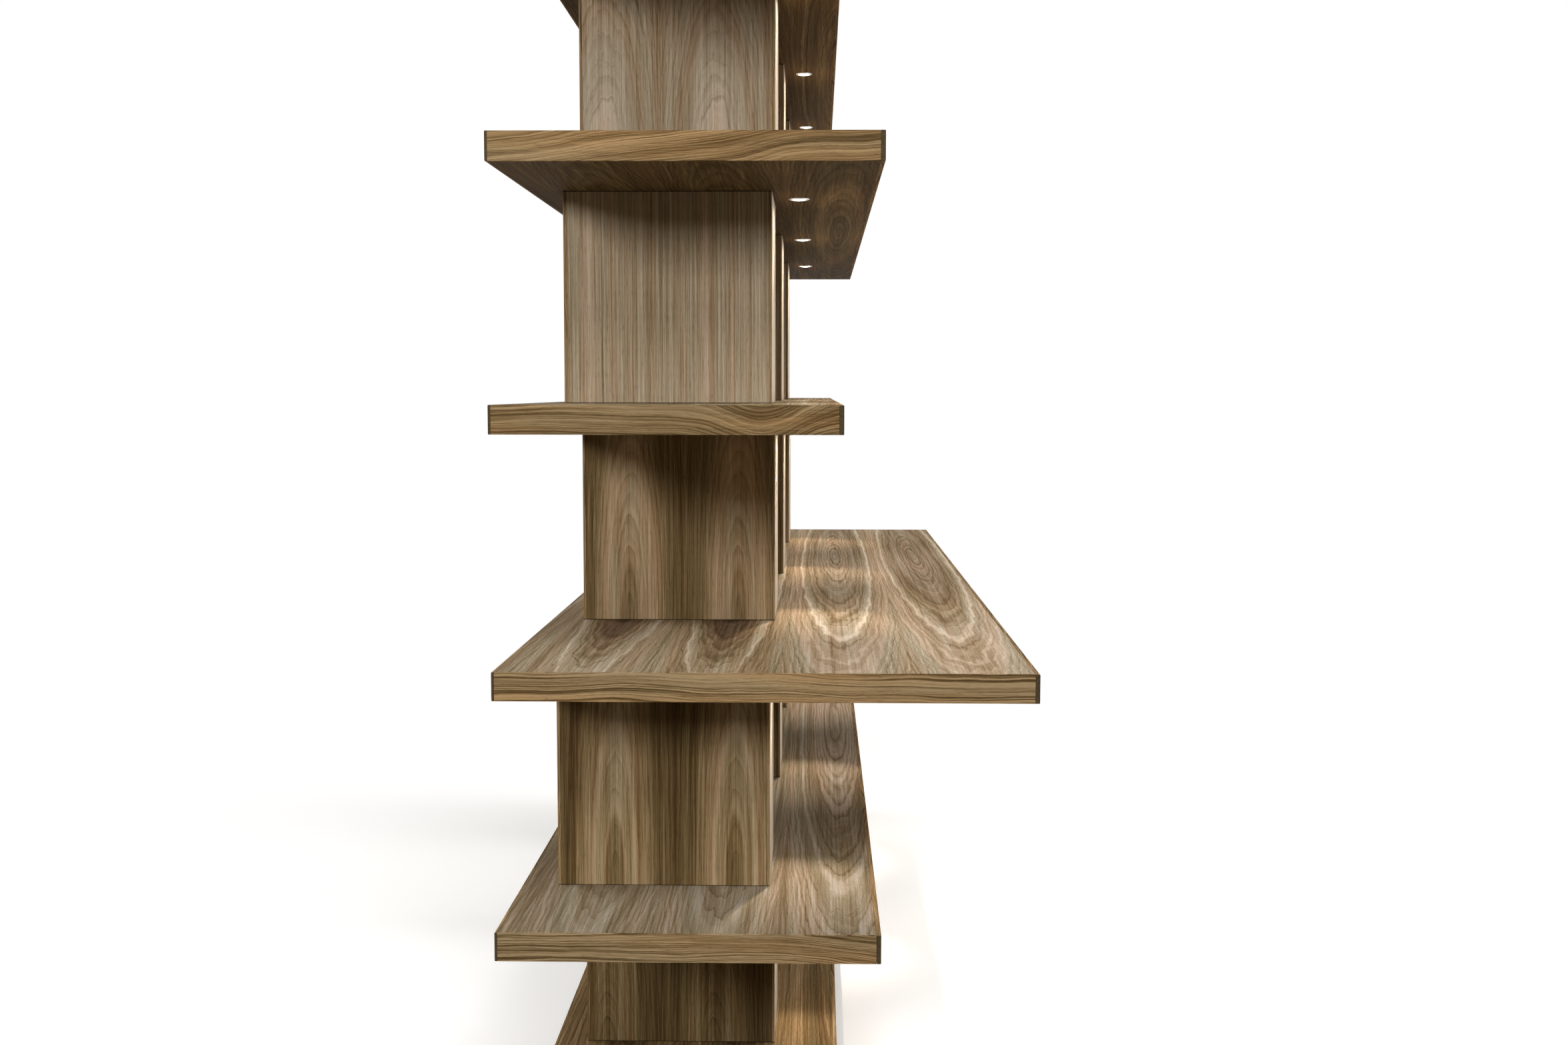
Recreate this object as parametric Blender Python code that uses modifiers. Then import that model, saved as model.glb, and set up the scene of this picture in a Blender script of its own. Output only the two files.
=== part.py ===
"""Open display bookcase with a desk-height shelf, lit posts and levelling feet.

Six walnut slabs share one back plane and differ in depth. Hollow square-cornered
posts stand between them on dowels, three to a tier, staggered from tier to tier.
A recessed downlight sits in the slab above each post, just in front of the post's
narrow face. Its wiring runs in channels in the slabs and down the middle posts to a
driver in the plinth. Six levelling feet stand in the plinth's long rails, screwed in
fully, and come down below them when they are turned.

Frame: metres, +Z up, length along X, front at -Y, floor at Z = 0. The origin is the
centre of the bounding box, on the floor.
"""
import math

import bmesh
import bpy
from mathutils import Matrix, Vector

# Overall sizes
LENGTH = 2.240
SLAB_THICKNESS = 0.038
TIER_HEIGHT = 0.308
BASE_SHELF_DEPTH = 0.457
LOW_SHELF_DEPTH = 0.508
DESK_SHELF_DEPTH = 0.711
MIDDLE_SHELF_DEPTH = 0.457
HIGH_SHELF_DEPTH = 0.508
TOP_SHELF_DEPTH = 0.457

# Solid edging of the slabs
FRONT_BAND = 0.006
BACK_BAND = 0.0035
ARRIS = 0.0008

# Posts
POST_LENGTH = 0.200
POST_SETBACK = 0.051
POST_FRONT_SETBACK = 0.101
POST_PITCH = 0.675
POSTS_PER_TIER = 3
POST_WALL = 0.018
ODD_TIER_START = 0.500
LOW_TIER_START = 0.215
MIDDLE_TIER_START = 0.318

# Dowels that locate the posts
DOWEL_RADIUS = 0.004
DOWEL_REACH = 0.011
DOWEL_ROOT = 0.012
DOWEL_INSET = 0.065

# Downlights
LIGHT_STANDOFF = 0.038
LIGHT_BODY_RADIUS = 0.0132
LIGHT_BODY_DEPTH = 0.014
LIGHT_FLANGE_RADIUS = 0.016
LIGHT_FLANGE = 0.0015
LIGHT_FLANGE_SLOPE = 0.0009
LIGHT_MOUTH_RADIUS = 0.0113
LIGHT_MOUTH_DEPTH = 0.0012

# Wiring
CABLE_RADIUS = 0.002
CABLE_BEND = 0.010
CABLE_INSET = 0.020
CHANNEL_HALF = 0.004
DROP_HOLE_HALF = 0.006
SPLICE_LENGTH = 0.024
SPLICE_WIDTH = 0.016
SPLICE_HEIGHT = 0.009
SPLICE_ENTRY = 0.006
CHAMBER_PLAY = 0.001

# Driver, with the mains inlet on its neck
DRIVER_LENGTH = 0.160
DRIVER_WIDTH = 0.050
DRIVER_HEIGHT = 0.018
INLET_WIDTH = 0.020
INLET_HEIGHT = 0.013
INLET_WALL = 0.002
INLET_DROP = 0.0015
INLET_POCKET = 0.010
INLET_PIN_RADIUS = 0.0012
INLET_PIN_SPACING = 0.0086
INLET_PIN_LENGTH = 0.008

# Plinth and levelling feet
PLINTH_HEIGHT = 0.032
PLINTH_RAIL_WIDTH = 0.038
PLINTH_SETBACK = 0.040
FOOT_RADIUS = 0.013
FOOT_PAD_HEIGHT = 0.004
FOOT_HEIGHT = 0.007
FOOT_NECK_RADIUS = 0.007
FOOT_STEM_RADIUS = 0.004
FOOT_RECESS = 0.001
FOOT_PLAY = 0.001
FOOT_END_INSET = 0.060

# Clearances, and how finely round pieces are cut
GAP = 0.0003
WELD = 0.00001
DOWEL_SIDES = 6
PIN_SIDES = 6
LIGHT_SIDES = 16
FOOT_SIDES = 16
CABLE_RESOLUTION = 2
BEND_STEPS = 4

# Places that follow from the sizes above
SHELVES = (
    ("base_shelf", BASE_SHELF_DEPTH),
    ("low_shelf", LOW_SHELF_DEPTH),
    ("desk_shelf", DESK_SHELF_DEPTH),
    ("middle_shelf", MIDDLE_SHELF_DEPTH),
    ("high_shelf", HIGH_SHELF_DEPTH),
    ("top_shelf", TOP_SHELF_DEPTH),
)
TIERS = (
    ("base", ODD_TIER_START),
    ("low", LOW_TIER_START),
    ("desk", ODD_TIER_START),
    ("middle", MIDDLE_TIER_START),
    ("high", ODD_TIER_START),
)
TIER_NUMBERS = range(len(TIERS))
POST_NUMBERS = range(POSTS_PER_TIER)
MIDDLE_POST = POSTS_PER_TIER // 2
LAST_POST = POSTS_PER_TIER - 1
BACK_Y = max(depth for name, depth in SHELVES) / 2
NEAR_X = -LENGTH / 2
FAR_X = LENGTH / 2
BASE_UNDERSIDE = PLINTH_HEIGHT
STOREY = SLAB_THICKNESS + TIER_HEIGHT
POST_HEIGHT = TIER_HEIGHT - 2 * GAP
POST_WIDTH = min(depth for name, depth in SHELVES) - POST_SETBACK - POST_FRONT_SETBACK
POST_BACK_Y = BACK_Y - POST_SETBACK
POST_FRONT_Y = POST_BACK_Y - POST_WIDTH
POST_MIDDLE_Y = (POST_BACK_Y + POST_FRONT_Y) / 2
LIGHT_Y = POST_FRONT_Y - LIGHT_STANDOFF
TRUNK_Y = POST_FRONT_Y + POST_WALL + CABLE_INSET
CABLE_LEVEL = LIGHT_BODY_DEPTH + GAP + CABLE_RADIUS
PLINTH_BACK_Y = BACK_Y - PLINTH_SETBACK
PLINTH_FRONT_Y = BACK_Y - BASE_SHELF_DEPTH + PLINTH_SETBACK
PLINTH_NEAR_X = NEAR_X + PLINTH_SETBACK
PLINTH_FAR_X = FAR_X - PLINTH_SETBACK
RAIL_TOP = PLINTH_HEIGHT - GAP
FOOT_SHOULDER = FOOT_RECESS + FOOT_HEIGHT
DRIVER_BACK_Y = PLINTH_BACK_Y - PLINTH_RAIL_WIDTH - GAP
DRIVER_FRONT_Y = DRIVER_BACK_Y - DRIVER_WIDTH
DRIVER_LEVEL = BASE_UNDERSIDE - GAP - DRIVER_HEIGHT / 2
INLET_LEVEL = DRIVER_LEVEL - INLET_DROP


def underside(shelf):
    """Height of the lower face of a slab, counted from the bottom one."""
    return BASE_UNDERSIDE + shelf * STOREY


def top_face(shelf):
    """Height of the upper face of a slab."""
    return underside(shelf) + SLAB_THICKNESS


def front_y(shelf):
    """Front face of a slab."""
    return BACK_Y - SHELVES[shelf][1]


def post_x(tier, number):
    """Middle of a post's length, and of its downlight: each tier has its own start."""
    return NEAR_X + TIERS[tier][1] + number * POST_PITCH + POST_LENGTH / 2


def trunk_x(tier):
    """Place along X of the cable that comes down through a tier's middle post."""
    return post_x(tier, MIDDLE_POST)


def dowel_places():
    """Where the dowels stand in plan, from the middle of a post: two in each cheek."""
    reach_x = POST_LENGTH / 2 - POST_WALL / 2
    reach_y = POST_WIDTH / 2 - DOWEL_INSET
    return [(side_x * reach_x, side_y * reach_y) for side_x in (-1, 1) for side_y in (-1, 1)]


def make_material(name, colour, roughness, metallic=0.0):
    """A plain Principled finish."""
    material = bpy.data.materials.new(name)
    material.use_nodes = True
    shader = material.node_tree.nodes["Principled BSDF"]
    shader.inputs["Base Color"].default_value = (*colour, 1.0)
    shader.inputs["Roughness"].default_value = roughness
    shader.inputs["Metallic"].default_value = metallic
    return material


def make_object(name, mesh, material, collection):
    """Link a mesh into a collection as a named object with one material."""
    if material and not mesh.materials:
        mesh.materials.append(material)
    piece = bpy.data.objects.new(name, mesh)
    collection.objects.link(piece)
    return piece


def finish_mesh(work):
    """Turn a working mesh into a stored one."""
    mesh = bpy.data.meshes.new("piece")
    work.to_mesh(mesh)
    work.free()
    return mesh


def add_box(work, low, high):
    """Add a box between two corners, and give back its vertices."""
    low = Vector(low)
    high = Vector(high)
    place = Matrix.Translation((low + high) / 2) @ Matrix.Diagonal((*(high - low), 1.0))
    return bmesh.ops.create_cube(work, size=1.0, matrix=place)["verts"]


def add_cylinder(work, centre, radius, low, high, sides):
    """Add an upright cylinder between two heights at a place in plan."""
    place = Matrix.Translation((centre[0], centre[1], (low + high) / 2))
    bmesh.ops.create_cone(work, cap_ends=True, segments=sides, radius1=radius, radius2=radius,
                          depth=high - low, matrix=place)


def add_mesh(work, mesh):
    """Add a finished mesh where it stands, and let go of it."""
    work.from_mesh(mesh)
    bpy.data.meshes.remove(mesh)


def ease_edges(work, is_outer):
    """Take the sharpness off the edges of a box whose middles pass a test."""
    chosen = [edge for edge in work.edges if is_outer((edge.verts[0].co + edge.verts[1].co) / 2)]
    bmesh.ops.bevel(work, geom=chosen, offset=ARRIS, offset_type="OFFSET", segments=1,
                    affect="EDGES", clamp_overlap=True)


def plain_mesh(guide):
    """Mesh of a guide object with its modifiers or bevel, its seams welded and the guide removed."""
    graph = bpy.context.evaluated_depsgraph_get()
    mesh = bpy.data.meshes.new_from_object(guide.evaluated_get(graph))
    bpy.data.objects.remove(guide)
    work = bmesh.new()
    work.from_mesh(mesh)
    bmesh.ops.remove_doubles(work, verts=work.verts, dist=WELD)
    bmesh.ops.recalc_face_normals(work, faces=work.faces)
    return finish_mesh(work)


def turned(profile, sides):
    """Mesh of an outline of (radius, height) points turned about the Z axis."""
    outline = bpy.data.meshes.new("outline")
    edges = [(index, index + 1) for index in range(len(profile) - 1)]
    outline.from_pydata([(radius, 0.0, height) for radius, height in profile], edges, [])
    guide = make_object("outline", outline, None, bpy.context.scene.collection)
    turn = guide.modifiers.new("Turn", "SCREW")
    turn.steps = sides
    turn.render_steps = sides
    turn.use_merge_vertices = True
    turn.merge_threshold = WELD
    return plain_mesh(guide)


def tube(points):
    """Closed mesh of a round cable along a run of points."""
    curve = bpy.data.curves.new("run", "CURVE")
    curve.dimensions = "3D"
    curve.bevel_depth = CABLE_RADIUS
    curve.bevel_resolution = CABLE_RESOLUTION
    curve.use_fill_caps = True
    spline = curve.splines.new("POLY")
    spline.points.add(len(points) - 1)
    for spot, point in zip(spline.points, points):
        spot.co = (*point, 1.0)
    guide = bpy.data.objects.new("run", curve)
    bpy.context.scene.collection.objects.link(guide)
    return plain_mesh(guide)


def bend(corner, arriving, leaving):
    """Points of a quarter bend that rounds off a corner between two square directions."""
    centre = corner - arriving * CABLE_BEND + leaving * CABLE_BEND
    points = []
    for step in range(BEND_STEPS + 1):
        angle = math.pi / 2 * step / BEND_STEPS
        turn = arriving * math.sin(angle) - leaving * math.cos(angle)
        points.append(centre + turn * CABLE_BEND)
    return points


def combine(piece, name, work, cutters, operation="DIFFERENCE"):
    """Cut a piece with a working mesh, or join it on, by an exact Boolean."""
    cutter = make_object(name, finish_mesh(work), None, cutters)
    cutter.hide_render = True
    cutter.display_type = "WIRE"
    change = piece.modifiers.new(name, "BOOLEAN")
    change.object = cutter
    change.operation = operation
    change.solver = "EXACT"


def make_panel(shelf, finish, collection, cutters):
    """A slab's veneered core, with its dowel bores, light recesses and cable channels."""
    name = SHELVES[shelf][0]
    work = bmesh.new()
    add_box(work, (NEAR_X, front_y(shelf) + FRONT_BAND + GAP, underside(shelf)),
            (FAR_X, BACK_Y - BACK_BAND - GAP, top_face(shelf)))
    panel = make_object(f"{name}_panel", finish_mesh(work), finish, collection)

    holes = bmesh.new()
    if shelf in TIER_NUMBERS:
        add_dowel_bores(holes, shelf, top_face(shelf))
    if shelf > 0:
        add_dowel_bores(holes, shelf - 1, underside(shelf))
        for number in POST_NUMBERS:
            add_cylinder(holes, (post_x(shelf - 1, number), LIGHT_Y), LIGHT_BODY_RADIUS + GAP,
                         underside(shelf) - SLAB_THICKNESS, underside(shelf) + CABLE_LEVEL, LIGHT_SIDES)
    combine(panel, f"{name}_round_holes", holes, cutters)
    if shelf > 0:
        cut_light_channels(panel, shelf, cutters)
    if shelf in TIER_NUMBERS:
        cut_drop_hole(panel, shelf, cutters)


def add_dowel_bores(work, tier, face):
    """Blind bores for a tier's dowels, in the slab face that its posts meet."""
    depth = DOWEL_REACH + GAP
    for number in POST_NUMBERS:
        for x, y in dowel_places():
            add_cylinder(work, (post_x(tier, number) + x, POST_MIDDLE_Y + y), DOWEL_RADIUS + GAP,
                         face - depth, face + depth, DOWEL_SIDES)


def cut_light_channels(panel, shelf, cutters):
    """Channels along a lit slab's lights and back to its splice, and the splice's chamber."""
    name = SHELVES[shelf][0]
    floor = underside(shelf) + CABLE_LEVEL - CHANNEL_HALF
    ceiling = underside(shelf) + CABLE_LEVEL + CHANNEL_HALF
    splice_x = trunk_x(shelf - 1)

    row = bmesh.new()
    add_box(row, (post_x(shelf - 1, 0) - CHANNEL_HALF, LIGHT_Y - CHANNEL_HALF, floor),
            (post_x(shelf - 1, LAST_POST) + CHANNEL_HALF, LIGHT_Y + CHANNEL_HALF, ceiling))
    combine(panel, f"{name}_row_channel", row, cutters)

    feed = bmesh.new()
    add_box(feed, (splice_x - CHANNEL_HALF, LIGHT_Y, floor), (splice_x + CHANNEL_HALF, TRUNK_Y, ceiling))
    combine(panel, f"{name}_feed_channel", feed, cutters)

    chamber = bmesh.new()
    half_x = SPLICE_LENGTH / 2 + CHAMBER_PLAY
    half_y = SPLICE_WIDTH / 2 + CHAMBER_PLAY
    add_box(chamber, (splice_x - half_x, TRUNK_Y - half_y, underside(shelf) - SLAB_THICKNESS),
            (splice_x + half_x, TRUNK_Y + half_y, underside(shelf) + CABLE_LEVEL + SPLICE_HEIGHT / 2 + GAP))
    combine(panel, f"{name}_splice_chamber", chamber, cutters)


def cut_drop_hole(panel, shelf, cutters):
    """The hole that the cable of the post above comes down by, and its channel to the splice."""
    name = SHELVES[shelf][0]
    drop_x = trunk_x(shelf)
    floor = underside(shelf) + CABLE_LEVEL - CHANNEL_HALF
    drop = bmesh.new()
    if shelf == 0:
        floor = underside(shelf) - SLAB_THICKNESS
    add_box(drop, (drop_x - DROP_HOLE_HALF, TRUNK_Y - DROP_HOLE_HALF, floor),
            (drop_x + DROP_HOLE_HALF, TRUNK_Y + DROP_HOLE_HALF, top_face(shelf) + SLAB_THICKNESS))
    combine(panel, f"{name}_drop_hole", drop, cutters)
    if shelf == 0:
        return
    ends = sorted((trunk_x(shelf - 1), drop_x))
    trunk = bmesh.new()
    add_box(trunk, (ends[0], TRUNK_Y - CHANNEL_HALF, floor),
            (ends[1], TRUNK_Y + CHANNEL_HALF, underside(shelf) + CABLE_LEVEL + CHANNEL_HALF))
    combine(panel, f"{name}_trunk_channel", trunk, cutters)


def make_bands(shelf, finish, collection):
    """The solid strips on a slab's long edges, full length, with eased outer corners."""
    name = SHELVES[shelf][0]
    front = front_y(shelf)
    work = bmesh.new()
    add_box(work, (NEAR_X, front, underside(shelf)), (FAR_X, front + FRONT_BAND, top_face(shelf)))
    ease_edges(work, lambda middle: middle.y < front + ARRIS)
    make_object(f"{name}_front_band", finish_mesh(work), finish, collection)

    work = bmesh.new()
    add_box(work, (NEAR_X, BACK_Y - BACK_BAND, underside(shelf)), (FAR_X, BACK_Y, top_face(shelf)))
    ease_edges(work, lambda middle: middle.y > BACK_Y - ARRIS)
    make_object(f"{name}_back_band", finish_mesh(work), finish, collection)


def post_mesh(cutters):
    """A hollow post on its own centre: four glued boards, with dowels at both ends."""
    half_x = POST_LENGTH / 2
    half_y = POST_WIDTH / 2
    work = bmesh.new()
    add_box(work, (-half_x, -half_y, 0.0), (half_x, half_y, POST_HEIGHT))
    ease_edges(work, lambda middle: abs(middle.x) > half_x - ARRIS and abs(middle.y) > half_y - ARRIS)
    post = make_object("post", finish_mesh(work), None, bpy.context.scene.collection)

    hollow = bmesh.new()
    add_box(hollow, (-half_x + POST_WALL, -half_y + POST_WALL, -POST_HEIGHT),
            (half_x - POST_WALL, half_y - POST_WALL, 2 * POST_HEIGHT))
    combine(post, "post_hollow", hollow, cutters)

    dowels = bmesh.new()
    for place in dowel_places():
        for root, tip in ((DOWEL_ROOT, -GAP - DOWEL_REACH),
                          (POST_HEIGHT - DOWEL_ROOT, POST_HEIGHT + GAP + DOWEL_REACH)):
            add_cylinder(dowels, place, DOWEL_RADIUS, min(root, tip), max(root, tip), DOWEL_SIDES)
    combine(post, "post_dowels", dowels, cutters, "UNION")
    return plain_mesh(post)


def make_posts(finish, collection, cutters):
    """All the posts, which share one mesh."""
    mesh = post_mesh(cutters)
    for tier in TIER_NUMBERS:
        for number in POST_NUMBERS:
            post = make_object(f"{TIERS[tier][0]}_post_{number + 1}", mesh, finish, collection)
            post.location = (post_x(tier, number), POST_MIDDLE_Y, top_face(tier) + GAP)


def make_downlights(finish, collection):
    """Recessed lights that share one mesh: a turned cup with a sloped flange and a lens seat."""
    flange_bottom = -GAP - LIGHT_FLANGE
    seat = flange_bottom + LIGHT_MOUTH_DEPTH
    mesh = turned([
        (0.0, LIGHT_BODY_DEPTH),
        (LIGHT_BODY_RADIUS, LIGHT_BODY_DEPTH),
        (LIGHT_BODY_RADIUS, -GAP),
        (LIGHT_FLANGE_RADIUS, -GAP),
        (LIGHT_FLANGE_RADIUS, flange_bottom + LIGHT_FLANGE_SLOPE),
        (LIGHT_FLANGE_RADIUS - LIGHT_FLANGE_SLOPE, flange_bottom),
        (LIGHT_MOUTH_RADIUS, flange_bottom),
        (LIGHT_MOUTH_RADIUS, seat),
        (0.0, seat),
    ], LIGHT_SIDES)
    mesh.set_sharp_from_angle(angle=math.pi / 6)
    for tier in TIER_NUMBERS:
        for number in POST_NUMBERS:
            light = make_object(f"{TIERS[tier][0]}_downlight_{number + 1}", mesh, finish, collection)
            light.location = (post_x(tier, number), LIGHT_Y, underside(tier + 1))


def drop_run(tier):
    """Route of a tier's feed: from its lights back to the splice, down its middle post and on."""
    back = Vector((0.0, 1.0, 0.0))
    down = Vector((0.0, 0.0, -1.0))
    above = Vector((trunk_x(tier), TRUNK_Y, underside(tier + 1) + CABLE_LEVEL))
    start = Vector((trunk_x(tier), LIGHT_Y, above.z))
    if tier == 0:
        below = Vector((trunk_x(tier), TRUNK_Y, DRIVER_LEVEL))
        onward = back
        end = Vector((trunk_x(tier), DRIVER_FRONT_Y - GAP, DRIVER_LEVEL))
    else:
        below = Vector((trunk_x(tier), TRUNK_Y, underside(tier) + CABLE_LEVEL))
        onward = Vector((math.copysign(1.0, trunk_x(tier - 1) - trunk_x(tier)), 0.0, 0.0))
        end = Vector((trunk_x(tier - 1), TRUNK_Y, below.z)) - onward * SPLICE_ENTRY
    return [start, *bend(above, back, down), *bend(below, down, onward), end]


def make_loom(finish, collection, cutters):
    """The low-voltage wiring in one piece: a run behind each row of lights, splices and drops."""
    runs = bmesh.new()
    drops = bmesh.new()
    splices = bmesh.new()
    for tier in TIER_NUMBERS:
        level = underside(tier + 1) + CABLE_LEVEL
        add_mesh(runs, tube([(post_x(tier, 0), LIGHT_Y, level), (post_x(tier, LAST_POST), LIGHT_Y, level)]))
        add_mesh(drops, tube(drop_run(tier)))
        centre = Vector((trunk_x(tier), TRUNK_Y, level))
        half = Vector((SPLICE_LENGTH, SPLICE_WIDTH, SPLICE_HEIGHT)) / 2
        add_box(splices, centre - half, centre + half)
    loom = make_object("lighting_loom", finish_mesh(runs), finish, collection)
    combine(loom, "loom_drops", drops, cutters, "UNION")
    combine(loom, "loom_splices", splices, cutters, "UNION")


def make_driver(finish, collection, cutters):
    """The lights' supply under the bottom slab, its mains inlet reaching through the back rail."""
    middle = trunk_x(0)
    half = DRIVER_LENGTH / 2
    half_x = INLET_WIDTH / 2
    half_z = INLET_HEIGHT / 2
    work = bmesh.new()
    add_box(work, (middle - half, DRIVER_FRONT_Y, DRIVER_LEVEL - DRIVER_HEIGHT / 2),
            (middle + half, DRIVER_BACK_Y, DRIVER_LEVEL + DRIVER_HEIGHT / 2))
    driver = make_object("led_driver", finish_mesh(work), finish, collection)

    neck = bmesh.new()
    add_box(neck, (middle - half_x, DRIVER_FRONT_Y + INLET_WALL, INLET_LEVEL - half_z),
            (middle + half_x, PLINTH_BACK_Y, INLET_LEVEL + half_z))
    combine(driver, "inlet_neck", neck, cutters, "UNION")

    pocket = bmesh.new()
    mouth = Vector((middle, PLINTH_BACK_Y, INLET_LEVEL))
    half = Vector((half_x - INLET_WALL, INLET_POCKET, half_z - INLET_WALL))
    add_box(pocket, mouth - half, mouth + half)
    combine(driver, "inlet_pocket", pocket, cutters)

    pins = bmesh.new()
    root = PLINTH_BACK_Y - INLET_POCKET - INLET_WALL
    tip = PLINTH_BACK_Y - INLET_POCKET + INLET_PIN_LENGTH
    for side in (-1, 1):
        spot = (middle + side * INLET_PIN_SPACING / 2, (root + tip) / 2, INLET_LEVEL)
        place = Matrix.Translation(spot) @ Matrix.Rotation(math.pi / 2, 4, "X")
        bmesh.ops.create_cone(pins, cap_ends=True, segments=PIN_SIDES, radius1=INLET_PIN_RADIUS,
                              radius2=INLET_PIN_RADIUS, depth=tip - root, matrix=place)
    combine(driver, "inlet_pins", pins, cutters, "UNION")


def foot_xs():
    """Where the feet stand along X: near both ends, and between the first two bottom posts."""
    between = (post_x(0, 0) + post_x(0, MIDDLE_POST)) / 2
    return (PLINTH_NEAR_X + FOOT_END_INSET, between, PLINTH_FAR_X - FOOT_END_INSET)


def rail_ys():
    """Middles of the plinth's front and back rails."""
    return {"front": PLINTH_FRONT_Y + PLINTH_RAIL_WIDTH / 2, "back": PLINTH_BACK_Y - PLINTH_RAIL_WIDTH / 2}


def make_plinth(finish, collection, cutters):
    """Set-back base: two long rails bored for the feet, and an end rail at each end."""
    half = PLINTH_RAIL_WIDTH / 2
    for side, middle_y in rail_ys().items():
        work = bmesh.new()
        add_box(work, (PLINTH_NEAR_X, middle_y - half, 0.0), (PLINTH_FAR_X, middle_y + half, RAIL_TOP))
        rail = make_object(f"plinth_{side}_rail", finish_mesh(work), finish, collection)
        bores = bmesh.new()
        seats = bmesh.new()
        for x in foot_xs():
            add_cylinder(bores, (x, middle_y), FOOT_STEM_RADIUS + GAP, -PLINTH_HEIGHT, 2 * PLINTH_HEIGHT,
                         FOOT_SIDES)
            add_cylinder(seats, (x, middle_y), FOOT_RADIUS + FOOT_PLAY, -PLINTH_HEIGHT, FOOT_SHOULDER + GAP,
                         FOOT_SIDES)
        combine(rail, f"plinth_{side}_stem_bores", bores, cutters)
        combine(rail, f"plinth_{side}_pad_seats", seats, cutters)
        if side == "back":
            hatch = bmesh.new()
            half_x = INLET_WIDTH / 2 + GAP
            half_z = INLET_HEIGHT / 2 + GAP
            add_box(hatch, (trunk_x(0) - half_x, middle_y - PLINTH_RAIL_WIDTH, INLET_LEVEL - half_z),
                    (trunk_x(0) + half_x, middle_y + PLINTH_RAIL_WIDTH, INLET_LEVEL + half_z))
            combine(rail, "plinth_inlet_hatch", hatch, cutters)

    low_y = PLINTH_FRONT_Y + PLINTH_RAIL_WIDTH + GAP
    high_y = PLINTH_BACK_Y - PLINTH_RAIL_WIDTH - GAP
    for side, middle_x in (("near", PLINTH_NEAR_X + half), ("far", PLINTH_FAR_X - half)):
        work = bmesh.new()
        add_box(work, (middle_x - half, low_y, 0.0), (middle_x + half, high_y, RAIL_TOP))
        make_object(f"plinth_{side}_rail", finish_mesh(work), finish, collection)


def make_feet(finish, collection):
    """Levelling feet that share one mesh, screwed in: a turned pad with a threaded stem above it."""
    stem_top = RAIL_TOP - FOOT_RECESS - GAP
    mesh = turned([
        (0.0, stem_top),
        (FOOT_STEM_RADIUS, stem_top),
        (FOOT_STEM_RADIUS, FOOT_HEIGHT),
        (FOOT_NECK_RADIUS, FOOT_HEIGHT),
        (FOOT_RADIUS, FOOT_PAD_HEIGHT),
        (FOOT_RADIUS, 0.0),
        (0.0, 0.0),
    ], FOOT_SIDES)
    mesh.set_sharp_from_angle(angle=math.pi / 6)
    for side, middle_y in rail_ys().items():
        for number, x in enumerate(foot_xs()):
            foot = make_object(f"{side}_foot_{number + 1}", mesh, finish, collection)
            foot.location = (x, middle_y, FOOT_RECESS)


def main():
    """Clear the scene and build every piece."""
    for old in list(bpy.data.objects):
        bpy.data.objects.remove(old)
    bookcase = bpy.data.collections.new("bookcase")
    cutters = bpy.data.collections.new("cutters")
    bpy.context.scene.collection.children.link(bookcase)
    bpy.context.scene.collection.children.link(cutters)

    panel_veneer = make_material("slab_veneer", (0.235, 0.150, 0.105), 0.42)
    post_veneer = make_material("post_veneer", (0.255, 0.165, 0.115), 0.45)
    solid_walnut = make_material("solid_walnut", (0.330, 0.205, 0.135), 0.45)
    batten = make_material("batten_wood", (0.620, 0.480, 0.310), 0.70)
    aluminium = make_material("satin_aluminium", (0.700, 0.690, 0.670), 0.30, 1.0)
    jacket = make_material("cable_jacket", (0.850, 0.850, 0.840), 0.45)
    nylon = make_material("black_nylon", (0.030, 0.030, 0.032), 0.45)
    zinc = make_material("zinc_steel", (0.560, 0.560, 0.540), 0.35, 1.0)

    for shelf in range(len(SHELVES)):
        make_panel(shelf, panel_veneer, bookcase, cutters)
        make_bands(shelf, solid_walnut, bookcase)
    make_posts(post_veneer, bookcase, cutters)
    make_downlights(aluminium, bookcase)
    make_loom(jacket, bookcase, cutters)
    make_driver(nylon, bookcase, cutters)
    make_plinth(batten, bookcase, cutters)
    make_feet(zinc, bookcase)


main()
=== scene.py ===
"""Looks of the lit walnut bookcase: veneer, edging, downlights, wiring, plinth, feet and stage."""
import math

import bpy
from bpy.props import FloatProperty, FloatVectorProperty, PointerProperty
from mathutils import Matrix, Vector


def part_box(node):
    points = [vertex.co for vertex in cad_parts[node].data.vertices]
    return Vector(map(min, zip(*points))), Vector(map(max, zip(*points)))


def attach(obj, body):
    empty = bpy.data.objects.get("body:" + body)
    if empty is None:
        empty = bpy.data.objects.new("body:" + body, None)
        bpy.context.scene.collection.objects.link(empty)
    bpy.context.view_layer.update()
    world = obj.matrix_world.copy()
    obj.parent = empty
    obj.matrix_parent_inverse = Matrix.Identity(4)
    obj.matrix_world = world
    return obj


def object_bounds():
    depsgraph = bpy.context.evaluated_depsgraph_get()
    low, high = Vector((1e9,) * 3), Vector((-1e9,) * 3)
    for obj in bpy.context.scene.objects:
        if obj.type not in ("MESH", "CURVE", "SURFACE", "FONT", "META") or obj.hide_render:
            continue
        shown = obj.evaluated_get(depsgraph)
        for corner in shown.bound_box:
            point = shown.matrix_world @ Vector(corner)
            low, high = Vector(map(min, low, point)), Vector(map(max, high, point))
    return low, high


bl_info = {
    "name": "Lit walnut bookcase",
    "version": (1, 0, 0),
    "blender": (4, 5, 0),
    "location": "3D View > Sidebar > Bookcase",
    "description": "Dresses a bookcase of thick slabs and staggered posts in walnut and lights it",
    "category": "Object",
}

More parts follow.
